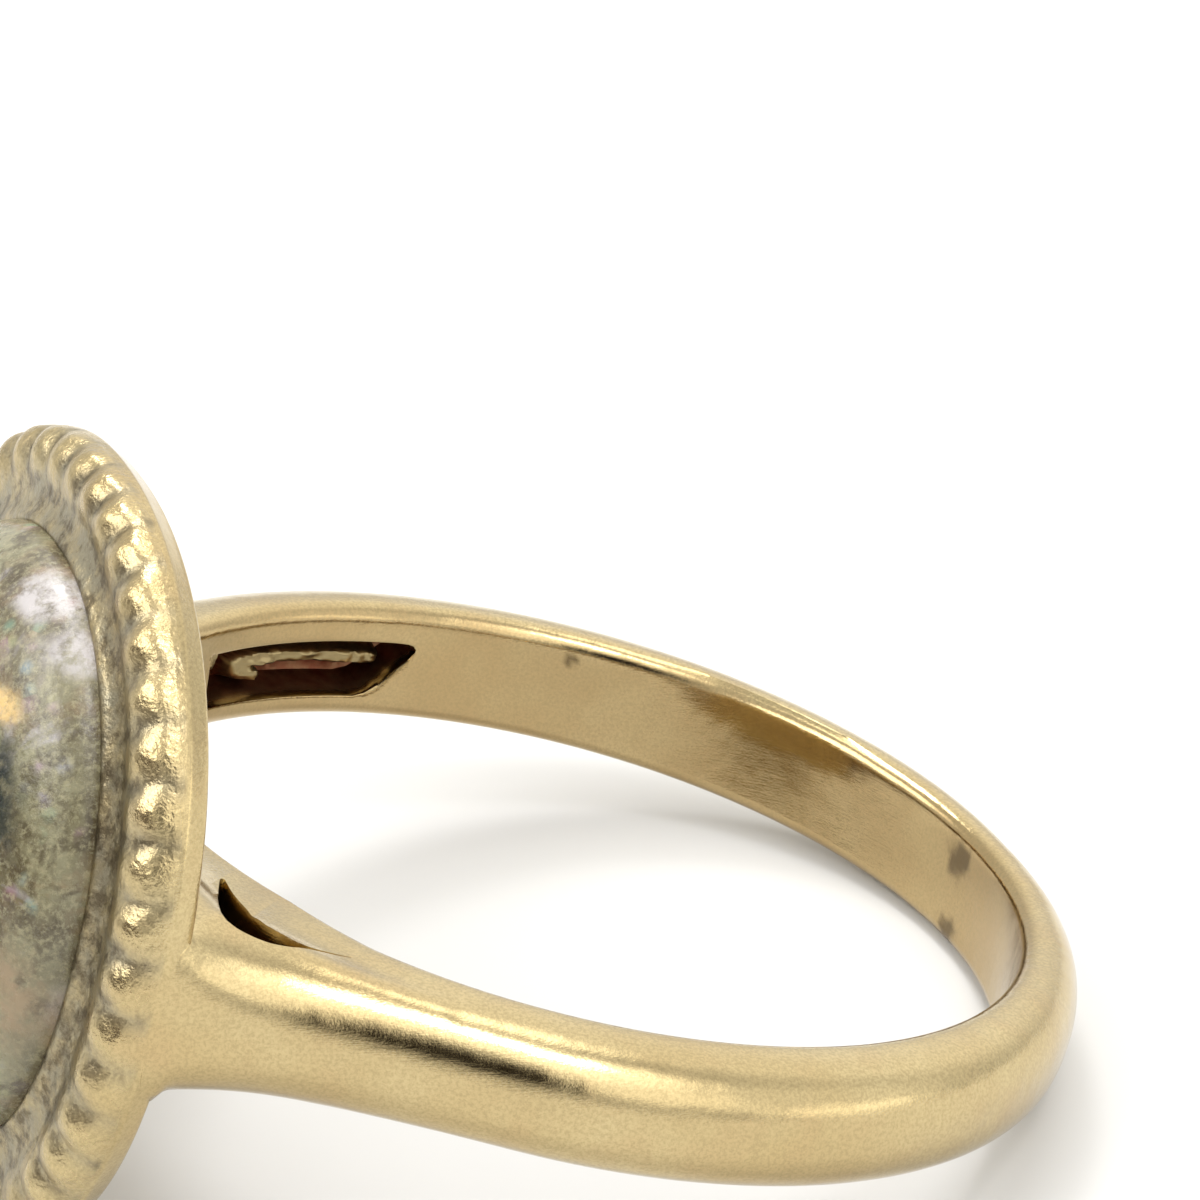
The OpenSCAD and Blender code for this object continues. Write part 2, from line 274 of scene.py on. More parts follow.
def hoop_profile(a):
    """The bore's point at angle a, the way out from it, and the closed section there.

    The section's points are distances out from the bore, and heights.
    """
    inner = BORE_R * unit(a)
    outer = outer_point(a)
    t = np.linalg.norm(outer - inner)
    hw = half_width(a)
    sharp = sharp_at(a)
    flat = mix(FLAT_W, HEAD_FLAT_W, sharp) / 2
    edge_t = mix(EDGE_T, HEAD_EDGE_T, sharp)
    edge_hw = min(hw, mix(SIDE_W / 2, HEAD_FLAT_W / 2 + HEAD_EDGE_T, sharp))

    low, high, inside = slot_edges(a)
    small = min(1, (high - low) / SLOT_FULL_W)
    draft, fillet, depth = SLOT_DRAFT * small, SLOT_FILLET * small, SLOT_DEPTH
    c = math.sqrt(0.5)

    def wall(lip):
        """Distance outwards from the hollow's edge, and depth, down one wall."""
        lip *= small
        foot = depth - fillet
        return [
            [lip, 0], [lip * (1 - c), lip * (1 - c)], [0, lip],
            [-draft / 3, mix(lip, foot, 0.33)], [-draft / 1.5, mix(lip, foot, 0.67)],
            [-draft, foot], [-draft - fillet * (1 - c), depth - fillet * (1 - c)],
            [-draft - fillet, depth],
        ]

    low_lip = SLOT_LIP + SLANT_LIP * float(smooth(a, *SLANT_ANGLES))
    down = [[low - p[0], p[1]] for p in wall(low_lip)]
    up = [[high + p[0], p[1]] for p in wall(SLOT_LIP)[::-1]]
    middle = np.linspace(low + draft + fillet, high - draft - fillet, 17)[1:-1]
    hollow = np.array(down + [[f, depth] for f in middle] + up)
    if inside:
        bottom = depth - floor_relief(np.full(len(hollow), a), hollow[:, 0])
        hollow[:, 1] = np.minimum(hollow[:, 1], bottom)
    hollow[:, 1] *= inside
    below = np.linspace(-flat, hollow[0, 0], 4)[:-1]
    above = np.linspace(hollow[-1, 0], flat, 4)[1:]

    turn = np.radians(np.arange(15, 91, 15))
    edge = np.stack([edge_t * (1 - np.cos(turn)), mix(flat, edge_hw, np.sin(turn))], -1)
    turn = np.radians(np.linspace(0, 90, 19)[1:])
    n = mix(FACE_N, HEAD_FACE_N, shoulder_share(a) ** SQUARE_FLARE)
    out = np.sin(turn) ** (2 / n)
    wide = mix(edge_hw, hw, smooth(out, *FLARE_SPAN))
    face = np.stack([mix(edge_t, t, out), wide * np.cos(turn) ** (2 / n)], -1)
    top = np.concatenate([edge, face])
    bottom = (top[:-1] * [1, -1])[::-1]
    below, above = (np.stack([np.zeros(3), f], -1) for f in (below, above))
    ring = np.concatenate([below, hollow[:, ::-1], above, top, bottom])
    return inner, (outer - inner) / t, ring


# Rows of points round one side of the hoop: first angle, last angle and step
ROW_SPANS = (
    (0, 20, 1.2), (20, 46, 0.6), (46, 55.8, 0.8), (55.8, 59, 0.2), (59, 61, 0.5),
    (61, 67, 0.35), (67, 83, 0.6), (83, 92, 0.2), (92, 180, 0.9),
)
# Wear has rounded the upper part of the bore at the far side of the back: how deep, the heights
# over which it grows, and the angles over which it starts and ends
WEAR_T, WEAR_FROM, WEAR_OVER, WEAR_START, WEAR_END = 0.07, 0.25, 0.6, (120, 134), (148, 160)
# The inner face's points are nearer the bore than this
INNER_T = 0.25
# Solder spreads the hoop's sides and outer face where they meet the head's back: radius of its
# fillet above and below, the angles over which it starts, and how fast it may leave the rim's line
SOLDER_ABOVE, SOLDER_BELOW, SOLDER_ANGLES, SOLDER_WALL = 0.12, 0.32, (22, 29), 0.3


def hoop_angles():
    """Angles of the rows of points: positive at the near side, negative at the far one."""
    a = np.concatenate([np.arange(s, e - 0.5 * step, step) for s, e, step in ROW_SPANS])
    return np.concatenate([a, [180], -a[:0:-1]])


def bore_wear(a, ring):
    """How far out wear has moved a section's points, at angle a."""
    worn = (INNER_T - ring[:, 0] > 0) * np.clip((ring[:, 1] - WEAR_FROM) / WEAR_OVER, 0, 1) ** 2
    return worn * WEAR_T * float(smooth(-a, *WEAR_START) * (1 - smooth(-a, *WEAR_END)))


def soldered(a, ring, h, n, f):
    """Places n and f of a section's points where the hoop runs into the head."""
    radius = np.where(f > 0, SOLDER_ABOVE, SOLDER_BELOW)
    gap = np.clip(BACK_REACH - h, 0, radius)
    spread = radius - np.sqrt(np.clip(radius**2 - (radius - gap) ** 2, 0, None))
    spread *= float(smooth(abs(a), *SOLDER_ANGLES))
    f = f + spread * outward(ring)[:, 1]
    wall = shoulder_top[1] * (1 - (abs(f) / HEAD_HALF[1]) ** OVAL_N) ** (1 / OVAL_N)
    return np.minimum(n, wall + SOLDER_WALL * np.clip(shoulder_top[0] - h, 0, None)), f


def make_hoop():
    """The hoop with its shoulders and hollows, which passes under the head."""
    sections = []
    for a in hoop_angles():
        inner, along, ring = hoop_profile(abs(a))
        worn = bore_wear(a, ring)
        ring = ring + np.column_stack([worn, 0 * worn])
        hn = inner + along * ring[:, :1]
        h, n, f = hn[:, 0], hn[:, 1], ring[:, 1]
        if abs(a) < SHARP_ANGLES[1]:
            n, f = soldered(a, ring, h, n, f)
        sections.append(np.column_stack([h, n * (1 if a >= 0 else -1), f]))
    points = np.array(sections)
    rows, cols = points.shape[:2]
    return solid("gold_mount", points.reshape(-1, 3), closed_net(rows, cols, True))


# Along the window: share of the way from its start to its end, thickness of the rail as a share
# of its greatest, and width of the window as a share of its greatest
WINDOW_ROWS = np.array([
    [0.00, 0.47, 0.04], [0.14, 0.64, 0.27], [0.25, 0.75, 0.50], [0.36, 0.84, 0.77],
    [0.46, 0.92, 1.00], [0.53, 0.97, 0.89], [0.60, 1.00, 0.73], [0.67, 1.00, 0.59],
    [0.75, 0.98, 0.34], [0.79, 0.94, 0.11], [0.88, 0.75, 0.03], [1.00, 0.57, 0.00],
])
# The window's cutter is straight up to the first height and then flares up to the second
WINDOW_STRAIGHT, WINDOW_REACH, WINDOW_FLARE = 1.15, 2.6, 0.3


def round_corners(outline, times=2):
    """The outline with each corner cut, time after time."""
    for _ in range(times):
        on = np.roll(outline, -1, axis=0)
        outline = np.stack([mix(outline, on, 0.25), mix(outline, on, 0.75)], 1).reshape(-1, 2)
    return outline


def window_span(a):
    """Distances from the bore to the window's two edges at angles a."""
    share = (np.asarray(a, float) - WINDOW_START) / (WINDOW_END - WINDOW_START)
    rail = RAIL_T * np.interp(share, WINDOW_ROWS[:, 0], WINDOW_ROWS[:, 1])
    return rail, rail + WINDOW_W * np.interp(share, WINDOW_ROWS[:, 0], WINDOW_ROWS[:, 2])


def make_window(side):
    """The cutter of one window, on the near side for 1 and on the far side for -1."""
    at = np.linspace(WINDOW_START, WINDOW_END, 26)
    rail, edge = window_span(at)
    outline = [(BORE_R + d) * unit(a) for a, d in zip(at, rail)]
    outline += [(BORE_R + d) * unit(a) for a, d in zip(at[-2::-1], edge[-2::-1])]
    outline = round_corners(np.array(outline))
    out = outward(outline)
    heights = np.concatenate([
        np.linspace(-WINDOW_REACH, -WINDOW_STRAIGHT, 10),
        np.linspace(-1.0, 1.0, 13),
        np.linspace(WINDOW_STRAIGHT, WINDOW_REACH, 10),
    ])
    lines = []
    for f in heights:
        hn = outline + out * WINDOW_FLARE * max(0, abs(f) - WINDOW_STRAIGHT)
        lines.append(np.column_stack([hn[:, 0], hn[:, 1] * side, np.full(len(hn), f)]))
    lines = np.array(lines)
    return solid("window", *capped(lines, lines[0].mean(0), lines[-1].mean(0)))


# ---- the head ----
# One row for each control line round the head: share of the way from the widest line to the lip,
# across the hoop and along the finger, rise as a share of the lip's, and share of a flute's height
BORDER = np.array([
    [0.13, 0.25, 0.000, 0], [0.08, 0.195, 0.015, 0], [0.05, 0.165, 0.08, 0],
    [0.02, 0.10, 0.21, 0], [0.00, 0.05, 0.31, 0], [0.00, 0.04, 0.355, 0],
    [0.00, 0.04, 0.40, 0], [0.005, 0.04, 0.46, 0.1], [0.02, 0.04, 0.52, 0.25],
    [0.08, 0.08, 0.68, 0.7], [0.20, 0.20, 0.82, 1], [0.34, 0.34, 0.90, 0.95],
    [0.46, 0.46, 0.92, 0.5], [0.56, 0.56, 0.90, 0.15], [0.66, 0.66, 0.88, 0],
    [0.78, 0.78, 0.90, 0], [0.87, 0.87, 0.95, 0], [0.93, 0.93, 1.00, 0],
    [0.98, 0.98, 1.02, 0], [1.02, 1.02, 1.00, 0], [1.02, 1.02, 0.97, 0],
])
# Points across a flute, how pointed its top is, and how much one flute differs from the next
FLUTE_STEPS, FLUTE_POWER, FLUTE_WEAR, FLUTE_SEED = 12, 1.3, 0.12, 5


def oval_r(half, a):
    """Distance from the middle of an oval with these half sizes to its line, at angles a."""
    shares = abs(np.cos(a) / half[0]) ** OVAL_N + abs(np.sin(a) / half[1]) ** OVAL_N
    return shares ** (-1 / OVAL_N)


def spline(rows, steps):
    """Points on a smooth curve through the rows."""
    ends = np.concatenate([[2 * rows[0] - rows[1]], rows, [2 * rows[-1] - rows[-2]]])
    out = []
    for p, q, r, s in zip(ends, ends[1:], ends[2:], ends[3:]):
        square, cube = 2 * p - 5 * q + 4 * r - s, 3 * q - p - 3 * r + s
        for t in np.arange(steps) / steps:
            out.append(0.5 * (2 * q + (r - p) * t + square * t * t + cube * t**3))
    return np.array(out + [rows[-1]])


# Angles in small steps, and the share of the border's middle line that has been run by each, which
# spaces the flutes evenly
fine = np.radians(np.linspace(0, 360, 1441))
mid_r = oval_r(mix(HEAD_HALF, LIP_HALF, 0.5), fine)
mid_xy = np.column_stack([mid_r * np.cos(fine), mid_r * np.sin(fine)])
run = np.concatenate([[0], np.cumsum(np.linalg.norm(np.diff(mid_xy, axis=0), axis=1))])
run /= run[-1]


def flute_shape(phase):
    """Height of a worn flute across its width."""
    u = abs(2 * (phase % 1) - 1)
    return np.cos(math.pi / 2 * u) ** FLUTE_POWER


def make_head():
    """The head with its flat back, its border of flutes, its lip and the stone's seat."""
    turn = np.arange(FLUTES * FLUTE_STEPS) / (FLUTES * FLUTE_STEPS)
    a = np.interp(turn, run, fine)
    shape = flute_shape(turn * FLUTES)
    # The flutes differ a little from one another, as worn casting does
    which = np.floor(turn * FLUTES).astype(int) % FLUTES
    wear = 1 + FLUTE_WEAR * np.random.default_rng(FLUTE_SEED).uniform(-1, 1, FLUTES)[which]

    def line(across, along, rise, flute):
        half = mix(HEAD_HALF, LIP_HALF, np.array([across, along]))
        lift = FLUTE_H * max(flute, 0) * shape * wear
        r = oval_r(half, a) + 0.5 * lift
        reach = BACK_REACH + LIP_RISE * rise + lift
        return np.column_stack([reach, r * np.cos(a), r * np.sin(a)])

    plate = [line(*BORDER[0]) * [1, k, k] for k in (0.25, 0.5, 0.75, 0.93)]
    border = [line(*row) for row in spline(BORDER, 3)]
    seat_rise = (SEAT_REACH - BACK_REACH) / LIP_RISE
    seat = [line(1, 1, mix(0.95, seat_rise, t), 0) for t in (0.25, 0.5, 0.75, 1)]
    floor = [line(1, 1, seat_rise, 0) * [1, k, k] for k in (0.9, 0.6, 0.3)]
    lines = np.array(plate + border + seat + floor)
    return solid("head", *capped(lines, [BACK_REACH, 0, 0], [SEAT_REACH, 0, 0]))


def make_opal():
    a = np.linspace(0, 2 * math.pi, 181)[:-1]

    def line(half, reach):
        r = oval_r(half, a)
        return np.column_stack([np.full(len(a), reach), r * np.cos(a), r * np.sin(a)])

    base, girdle = SEAT_REACH + FIT_GAP, LIP_REACH
    lines = [line(OPAL_HALF * k, base) for k in (0.3, 0.6, 0.85, 0.97)]
    lines += [line(OPAL_HALF, mix(base, girdle, t)) for t in (0.06, 0.3, 0.6, 0.9)]
    for e in np.radians(np.linspace(0, 88, 45)):
        lines.append(line(OPAL_HALF * math.cos(e), girdle + OPAL_DOME * math.sin(e)))
    top = [girdle + OPAL_DOME, 0, 0]
    return solid("opal_cabochon", *capped(np.array(lines), [base, 0, 0], top))


# ---- colour masks, kept on the meshes' points ----
# Dull stains on the inner face: angle, height and size
STAINS = ((-177.6, 0.52, 0.52), (-179.0, -0.86, 0.34), (-112, 0.72, 0.16))
# Patches of the stone: name, colour, and then the place across the hoop and along the finger and
# the half sizes of each
OPAL_PATCHES = (
    # The first three lilac spots paint highlights along the stone's edge; the last is lilac colour
    # in the stone
    ("lilac_and_highlight", (0.48, 0.45, 0.45), (
        (1.5, 5.0, 1.05, 0.5), (2.6, 4.6, 0.85, 0.5), (5.1, -1.3, 0.22, 1.5),
        (-3.0, 2.9, 0.9, 1.2),
    )),
    ("tan", (0.29, 0.215, 0.125), ((4.4, -1.0, 0.75, 1.5), (-1.2, -3.9, 1.3, 0.7))),
    ("dark", (0.012, 0.017, 0.013), (
        (3.0, 2.2, 1.3, 1.3), (-1.6, 0.4, 1.5, 1.1), (0.9, -2.9, 1.2, 0.8),
    )),
    ("amber", (0.66, 0.46, 0.19), (
        (2.5, 3.45, 0.6, 0.38), (-2.8, -1.9, 0.8, 0.6), (0.4, 1.6, 0.7, 0.5),
    )),
)


def paint(piece, name, values):
    """Keep a mask on the piece's points for its material."""
    layer = piece.data.attributes.new(name, "FLOAT", "POINT")
    layer.data.foreach_set("value", np.asarray(values, np.float32))


def mesh_points(piece):
    co = np.zeros(len(piece.data.vertices) * 3)
    piece.data.vertices.foreach_get("co", co)
    return to_ring(co.reshape(-1, 3))


def paint_hollows(piece, a, f, depth):
    """Dirt with painted shade in the hollows and windows, and the hollows' ridge, with less of it
    and a darker colour.
    """
    in_slot = (a > SLOT_START - 1) & (a < SLOT_END + 0.5) & (depth < SLOT_DEPTH + 0.3)
    in_slot &= (f > SLOT_LOW - 0.04) & (f < SLOT_HIGH + 0.04)
    ridge = smooth(floor_relief(a, f), 0.3, 0.5) * in_slot * smooth(depth, 0.1, 0.3)
    paint(piece, "ridge", ridge)
    # Darker with depth in the hollows: dirt with painted shade, less on the ridge
    deep_dirt_and_shade = smooth(depth, 0.06, 0.4) * in_slot * (1 - 0.9 * ridge)

    # In the windows: dirt with painted shade, less on the rail's side
    rail, edge = window_span(a)
    in_window = (a > WINDOW_START - 1) & (a < WINDOW_END + 0.6)
    in_window &= (depth > rail - 0.05) & (depth < edge + 0.12)
    off_rail = mix(0.2, 1, smooth(depth - rail, 0.1, 0.55))
    window = in_window * smooth(1.18 - abs(f), 0, 0.4) * off_rail
    paint(piece, "grime_and_shade", np.clip(deep_dirt_and_shade + window, 0, 1))


def paint_border(piece, p):
    """Where the head's border is, and the tarnish in its grooves, in its valley and on its lip,
    with painted shade in the grooves and valley.
    """
    h, n, f = p.T
    angle = np.arctan2(f, n) % (2 * math.pi)
    head_r, lip_r = oval_r(HEAD_HALF, angle), oval_r(LIP_HALF, angle)
    share = (head_r - np.hypot(n, f)) / (head_r - lip_r)
    on_border = smooth(h, BACK_REACH + 0.42, BACK_REACH + 0.54)
    flute = flute_shape(np.interp(angle, fine, run) * FLUTES)
    # The grooves between the flutes and the valley get painted shade, in the tarnish's colour
    groove = (1 - flute) ** 1.5 * (1 - smooth(share, 0.56, 0.66))
    crest = flute * (1 - smooth(share, 0.45, 0.6))
    valley = smooth(share, 0.55, 0.65) * (1 - smooth(share, 0.80, 0.9))
    blotch = np.clip(0.5 + 0.7 * waves(p, 1.1, 17, 4), 0, 1)
    lip = smooth(share, 0.8, 0.9) * (0.45 + 0.5 * blotch)
    worn = (0.2 + 0.7 * blotch) * smooth(share, 0.06, 0.35) * (1 - 0.65 * crest)
    paint(piece, "border", on_border)
    paint(piece, "tarnish_and_shade", on_border * np.clip(0.6 * groove + 0.7 * valley + lip + worn, 0, 1))


def paint_bore(piece, p, depth):
    """The inner face's darker, redder tone and its dull stains."""
    h, n, f = p.T
    # The inner face is painted darker and redder
    inner = smooth(INNER_T - depth, 0, 0.2)
    cloudy = 0.65 + 0.35 * np.clip(0.5 + waves(p, 2.4, 29), 0, 1)
    paint(piece, "darker_inner_face", inner * (1 - smooth(h, 7.5, 8)) * cloudy)
    ragged = 1 + 0.35 * waves(p, 0.6, 11)
    stain = np.zeros(len(p))
    for at, height, size in STAINS:
        turn = (np.degrees(np.arctan2(n, h)) - at + 180) % 360 - 180
        away = np.hypot(turn * MM_A_DEGREE, f - height)
        stain = np.maximum(stain, smooth(size * ragged - away, 0, 0.6 * size))
    paint(piece, "stain", stain * inner)


def mask_gold(piece):
    p = mesh_points(piece)
    h, n, f = p.T
    depth = np.hypot(h, n) - BORE_R
    paint_hollows(piece, np.degrees(np.arctan2(abs(n), h)), f, depth)
    paint_border(piece, p)
    paint_bore(piece, p, depth)


def mask_opal(piece):
    p = mesh_points(piece)
    ragged = 1 + 0.3 * waves(p, 1.6, 21)
    for name, _, spots in OPAL_PATCHES:
        mask = np.zeros(len(p))
        for n, f, wide, high in spots:
            away = np.hypot((p[:, 1] - n) / wide, (p[:, 2] - f) / high)
            mask = np.maximum(mask, smooth(ragged - away, 0, 0.7))
        paint(piece, name, mask)


# ---- materials ----
# Colours of the gold. Dirt and dull are also painted shade: dirt in the hollows and windows, dull
# in the flutes' grooves and valley.
GOLD = {
    "pale": (0.60, 0.482, 0.26), "warm": (0.535, 0.41, 0.207), "blush": (0.51, 0.36, 0.185),
    "darker_inner_face": (0.44, 0.31, 0.15), "speckle": (0.36, 0.28, 0.14), "dull": (0.32, 0.285, 0.20),
    "spots": (0.12, 0.093, 0.055), "stain": (0.12, 0.085, 0.045), "dirt_and_shade": (0.19, 0.062, 0.036),
    "ridge": (0.31, 0.245, 0.125),
}
# How much each mask adds to the gold's roughness
ROUGHER = {"border": 0.14, "tarnish_and_shade": 0.13, "stain": 0.22, "grime_and_shade": 0.3, "ridge": 0.2}
STONE = {
    "olive": (0.10, 0.08, 0.036), "milky": (0.275, 0.26, 0.16), "brown": (0.24, 0.15, 0.075),
    "haze": (0.40, 0.37, 0.41), "mottle": (0.065, 0.048, 0.022), "speckle": (0.35, 0.32, 0.19),
}
STONE_SHADER = {
    "IOR": 1.5, "Subsurface Weight": 0.15, "Subsurface Radius": (1.0, 0.9, 0.7),
    "Subsurface Scale": 0.5 * MM, "Coat Weight": 0.25, "Coat Roughness": 0.12,
}


class Nodes:
    """A material's or the world's nodes. Textures are placed by the owner's own coordinates."""

    def __init__(self, owner, shader="Principled BSDF", place="Object"):
        self.owner = owner
        owner.use_nodes = True
        self.tree = owner.node_tree
        self.shader = self.tree.nodes[shader]
        self.place = self.add("ShaderNodeTexCoord").outputs[place]

    def add(self, kind, **values):
        node = self.tree.nodes.new(kind)
        for key, value in values.items():
            setattr(node, key, value)
        return node

    def put(self, socket, value):
        if hasattr(value, "links"):
            self.tree.links.new(value, socket)
        else:
            socket.default_value = value

    def noise(self, pitch_mm, detail=3, rough=0.55, distortion=0.0, stretch=None):
        node = self.add("ShaderNodeTexNoise")
        place = self.place
        if stretch:
            mapping = self.add("ShaderNodeMapping")
            self.put(mapping.inputs["Vector"], place)
            mapping.inputs["Rotation"].default_value = (0, -TILT, 0)
            mapping.inputs["Scale"].default_value = stretch
            place = mapping.outputs[0]
        self.put(node.inputs["Vector"], place)
        node.inputs["Scale"].default_value = 1 / (pitch_mm * MM)
        node.inputs["Detail"].default_value = detail
        node.inputs["Roughness"].default_value = rough
        node.inputs["Distortion"].default_value = distortion
        return node.outputs[0]

    def range(self, value, low, high, to_low, to_high):
        node = self.add("ShaderNodeMapRange")
        self.put(node.inputs["Value"], value)
        limits = {"From Min": low, "From Max": high, "To Min": to_low, "To Max": to_high}
        for key, number in limits.items():
            node.inputs[key].default_value = number
        return node.outputs[0]

    def maths(self, operation, a, b):
        node = self.add("ShaderNodeMath", operation=operation)
        self.put(node.inputs[0], a)
        self.put(node.inputs[1], b)
        return node.outputs[0]

    def blend(self, factor, a, b):
        node = self.add("ShaderNodeMix", data_type="RGBA")
        self.put(node.inputs[0], factor)
        for socket, value in ((node.inputs[6], a), (node.inputs[7], b)):
            self.put(socket, value if hasattr(value, "links") else (*value, 1))
        return node.outputs[2]

    def mask(self, name):
        return self.add("ShaderNodeAttribute", attribute_name=name).outputs["Fac"]

    def bump(self, height, strength, distance_mm, normal=None):
        node = self.add("ShaderNodeBump")
        self.put(node.inputs["Strength"], strength)
        node.inputs["Distance"].default_value = distance_mm * MM
        self.put(node.inputs["Height"], height)
        if normal:
            self.put(node.inputs["Normal"], normal)
        return node.outputs[0]


def gold_material():
    m = Nodes(bpy.data.materials.new("worn_gold"))
    masks = {name: m.mask(name) for name in ("darker_inner_face", *ROUGHER)}
    cloud = m.range(m.noise(3.5, 4), 0.35, 0.65, 0, 1)
    colour = m.blend(cloud, GOLD["pale"], GOLD["warm"])
    blush = m.range(m.noise(1.1, 3), 0.5, 0.75, 0, 0.45)
    colour = m.blend(blush, colour, GOLD["blush"])
    # The inner face, painted darker and redder
    colour = m.blend(m.maths("MULTIPLY", masks["darker_inner_face"], 0.85), colour, GOLD["darker_inner_face"])
    speckle = m.range(m.noise(0.065, 3, 0.75), 0.40, 0.62, 0, 0.55)
    colour = m.blend(speckle, colour, GOLD["speckle"])
    # Tarnish on the head's border, with painted shade in its grooves and valley
    patchy = m.range(m.noise(0.55, 4, 0.65), 0.35, 0.6, 0.4, 1.0)
    colour = m.blend(m.maths("MULTIPLY", masks["tarnish_and_shade"], patchy), colour, GOLD["dull"])
    spots = m.range(m.noise(0.42, 5, 0.72), 0.46, 0.60, 0, 0.85)
    colour = m.blend(m.maths("MULTIPLY", masks["tarnish_and_shade"], spots), colour, GOLD["spots"])
    colour = m.blend(m.maths("MULTIPLY", masks["stain"], 0.8), colour, GOLD["stain"])
    # Dirt with painted shade in the hollows and the windows
    caked_dirt_and_shade = m.range(m.noise(0.35, 4), 0.3, 0.7, 0.75, 1.0)
    colour = m.blend(m.maths("MULTIPLY", masks["grime_and_shade"], caked_dirt_and_shade), colour, GOLD["dirt_and_shade"])
    colour = m.blend(m.maths("MULTIPLY", masks["ridge"], 0.9), colour, GOLD["ridge"])
    m.put(m.shader.inputs["Base Color"], colour)
    m.shader.inputs["Metallic"].default_value = 1.0

    rough = m.range(m.noise(0.9, 5, 0.65), 0.3, 0.7, 0.08, 0.17)
    for name, amount in ROUGHER.items():
        rough = m.maths("ADD", rough, m.maths("MULTIPLY", masks[name], amount))
    m.put(m.shader.inputs["Roughness"], rough)

    grain = m.bump(m.noise(0.05, 3, 0.65), 0.45, 0.006)
    along_finger = (0.25, 0.25, 3.0)
    scratches = m.bump(m.noise(0.12, 4, 0.7, 0.4, along_finger), 0.3, 0.008, grain)
    dents = m.bump(m.noise(1.1, 2), 0.5, 0.05, scratches)
    pits = m.bump(m.noise(0.25, 3, 0.6), masks["border"], 0.04, dents)
    m.put(m.shader.inputs["Normal"], pits)
    return m.owner


def opal_material():
    m = Nodes(bpy.data.materials.new("milky_opal"))
    drift = m.range(m.noise(2.4, 5, 0.65, 0.8), 0.36, 0.64, 0, 1)
    colour = m.blend(drift, STONE["olive"], STONE["milky"])
    brown = m.range(m.noise(1.3, 4, 0.6, 0.4), 0.52, 0.68, 0, 0.8)
    colour = m.blend(brown, colour, STONE["brown"])
    haze = m.range(m.noise(1.6, 4, 0.6, 0.9), 0.60, 0.72, 0, 0.7)
    colour = m.blend(haze, colour, STONE["haze"])

    # Small flecks of many colours, in places
    fleck = m.add("ShaderNodeTexVoronoi")
    m.put(fleck.inputs["Vector"], m.place)
    fleck.inputs["Scale"].default_value = 1 / (0.42 * MM)
    spark = m.range(fleck.outputs["Distance"], 0.0, 0.5, 0.7, 0)
    tint = m.add("ShaderNodeHueSaturation")
    m.put(tint.inputs["Color"], fleck.outputs["Color"])
    tint.inputs["Saturation"].default_value = 0.6
    tint.inputs["Value"].default_value = 0.7
    in_places = m.range(m.noise(1.5, 3), 0.5, 0.62, 0, 1)
    colour = m.blend(m.maths("MULTIPLY", spark, in_places), colour, tint.outputs[0])

    mottle = m.range(m.noise(0.6, 5, 0.65, 0.5), 0.46, 0.60, 0, 0.8)
    colour = m.blend(mottle, colour, STONE["mottle"])
    speckle = m.range(m.noise(0.12, 4, 0.75), 0.48, 0.64, 0, 0.6)
    colour = m.blend(speckle, colour, STONE["speckle"])
    patchy = m.range(m.noise(0.35, 5, 0.7), 0.36, 0.56, 0.2, 1.0)
    # The stone's patches; the lilac one also paints highlights on the stone's edge
    for name, shade, _ in OPAL_PATCHES:
        colour = m.blend(m.maths("MULTIPLY", m.mask(name), patchy), colour, shade)
    m.put(m.shader.inputs["Base Color"], colour)
    m.put(m.shader.inputs["Roughness"], m.range(m.noise(0.4, 4), 0.3, 0.7, 0.14, 0.34))
    for key, value in STONE_SHADER.items():
        m.shader.inputs[key].default_value = value
    m.put(m.shader.inputs["Normal"], m.bump(m.noise(0.22, 5, 0.7), 0.7, 0.035))
    return m.owner


# ---- pieces ----
mount = make_hoop()
combine(mount, make_head(), "UNION")
for side in (1, -1):
    combine(mount, make_window(side), "DIFFERENCE")
opal = make_opal()
# Each piece with its slot, the node that it replaces, and the angle in degrees of a sharp edge
for piece, slot, node, sharp in ((mount, "gold", "ring_mount", 38), (opal, "opal", "opal", 60)):
    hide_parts(node)
    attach(piece, "root")
    piece.data.polygons.foreach_set("use_smooth", np.ones(len(piece.data.polygons), bool))
    piece.data.set_sharp_from_angle(angle=math.radians(sharp))
mask_gold(mount)
mask_opal(opal)
mount.data.materials.clear()
mount.data.materials.append(gold_material())
opal.data.materials.append(opal_material())

# ---- floor, light and camera ----
bpy.ops.mesh.primitive_plane_add(size=2.0)
floor = bpy.context.object
floor.name = "floor"
paper = Nodes(bpy.data.materials.new("white_paper"))
clouds = paper.blend(paper.noise(6, 3), (0.63, 0.63, 0.63), (0.655, 0.655, 0.655))
paper.put(paper.shader.inputs["Base Color"], clouds)
paper.shader.inputs["Roughness"].default_value = 0.8
floor.data.materials.append(paper.owner)


def stand(thing, axes, place):
    """Put a camera or a lamp in the scene, with its x, y and z axes and its place."""
    bpy.context.scene.collection.objects.link(thing)
    pose = np.eye(4)
    pose[:3] = np.column_stack([*axes, place])
    thing.matrix_world = Matrix(pose.tolist())


# The camera looks at the ring from the near side and above, with the roll of the photograph.
# In the ring's axes AZ is 0 at the near side and 90 degrees at the head's.
AZ, EL, ROLL = (math.radians(v) for v in (28.0, 20.105, 15.769))
DISTANCE, OFFSET = 91.548, np.array([-0.7145, -4.8756])
LENS_MM, SENSOR_MM = 150, 36
back = np.array([math.cos(EL) * math.sin(AZ), math.cos(EL) * math.cos(AZ), math.sin(EL)])
level = np.array([-math.cos(AZ), math.sin(AZ), 0])
rise = np.array([-math.sin(EL) * math.sin(AZ), -math.sin(EL) * math.cos(AZ), math.cos(EL)])
right = math.cos(ROLL) * level + math.sin(ROLL) * rise
up = -math.sin(ROLL) * level + math.cos(ROLL) * rise
eye = to_world(-OFFSET[0] * right - OFFSET[1] * up + DISTANCE * back)
lens = bpy.data.cameras.new("camera")
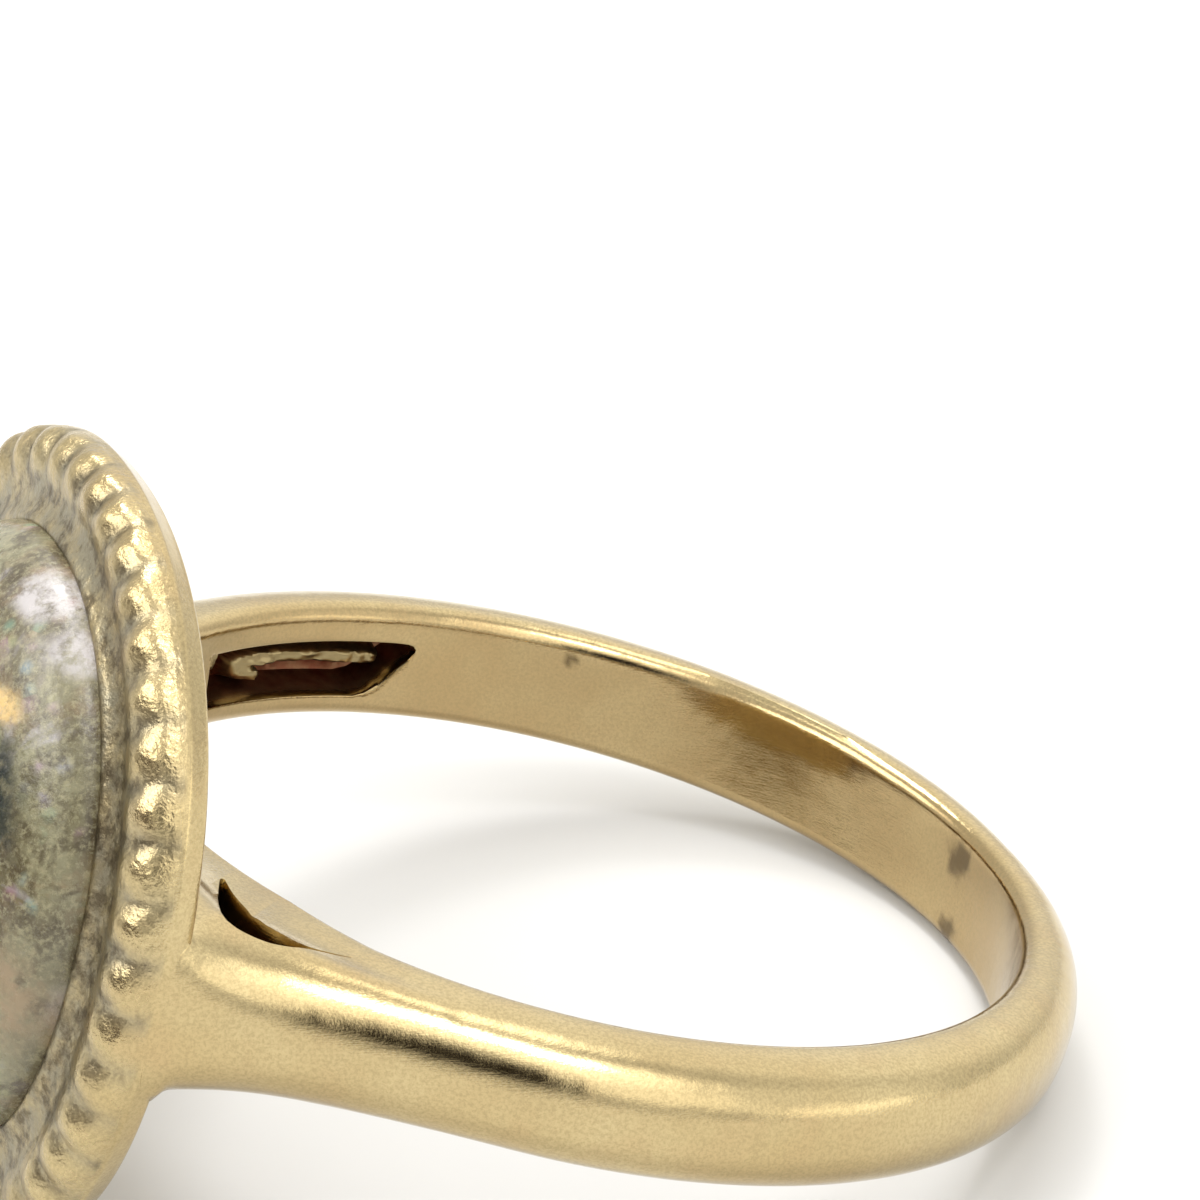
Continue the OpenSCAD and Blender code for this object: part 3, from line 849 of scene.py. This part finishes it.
lens.lens, lens.sensor_width = LENS_MM, SENSOR_MM
lens.clip_start, lens.clip_end = 0.001, 20
camera = bpy.data.objects.new("camera", lens)
stand(camera, [TURN @ (way * SIGNS) for way in (right, up, back)], eye)
bpy.context.scene.camera = camera


def frame_of(azimuth, elevation):
    """Directions from the ring, level across that and up it. Azimuth 0 is at -Y, and 90 at +X."""
    a, e = math.radians(azimuth), math.radians(elevation)
    way = np.array([math.sin(a) * math.cos(e), -math.cos(a) * math.cos(e), math.sin(e)])
    across = np.array([math.cos(a), math.sin(a), 0])
    return way, across, np.cross(way, across)


# Soft square lamps add to the light of the room: azimuth, elevation, distance and size in metres,
# and power in watts
LAMPS = (
    ("overhead_middle", 27, 66, 0.5, 0.10, 0.34),
    ("top_back", 171, 55, 0.5, 0.11, 0.55),
)
for name, azimuth, elevation, away, size, power in LAMPS:
    way, across, rise = frame_of(azimuth, elevation)
    lamp = bpy.data.lights.new(name, "AREA")
    lamp.size, lamp.energy = size, power
    stand(bpy.data.objects.new(name, lamp), (across, rise, way), way * away)

# The room: azimuth and elevation of each bright or dark place, its half width and half height in
# degrees, how soft its edge is and its colour
ROOM_COLOUR = (0.92, 0.92, 0.90)
PLACES = (
    (130, 34, 45, 36, 0.5, (1.42, 1.41, 1.38)),
    (55, 24, 38, 28, 0.5, (1.30, 1.30, 1.27)),
    (-98, 45, 36, 17, 0.4, (5.0, 4.95, 4.8)),
    (13, 29, 25, 19, 0.35, (1.85, 1.83, 1.76)),
    (22, 60, 25, 26, 0.35, (2.5, 2.48, 2.42)),
    (155, 68, 26, 19, 0.4, (3.8, 3.74, 3.56)),
    (50, 8, 24, 9, 0.4, (2.1, 2.07, 1.98)),
    (-80, 9, 46, 17, 0.3, (0.07, 0.04, 0.028)),
    (-20, 26, 18, 23, 0.55, (0.02, 0.015, 0.01)),
)
room = Nodes(bpy.data.worlds.new("studio"), "Background", "Generated")
bpy.context.scene.world = room.owner
sky = None
for azimuth, elevation, wide, high, soft, colour in PLACES:
    way, across, rise = frame_of(azimuth, elevation)
    axes = Matrix(np.column_stack([way, across, rise]).tolist())
    oval = room.add("ShaderNodeMapping", vector_type="TEXTURE")
    room.put(oval.inputs["Vector"], room.place)
    oval.inputs["Location"].default_value = way
    oval.inputs["Rotation"].default_value = axes.to_euler()
    oval.inputs["Scale"].default_value = (
        1, math.sin(math.radians(wide)), math.sin(math.radians(high)),
    )
    inside = room.add("ShaderNodeTexGradient", gradient_type="SPHERICAL")
    room.put(inside.inputs["Vector"], oval.outputs[0])
    edge = room.range(inside.outputs["Fac"], 0.0, soft, 0, 1)
    sky = room.blend(edge, sky or ROOM_COLOUR, colour)
room.put(room.shader.inputs["Color"], sky)
room.shader.inputs["Strength"].default_value = 1.0
bpy.context.scene.view_settings.view_transform = "Standard"
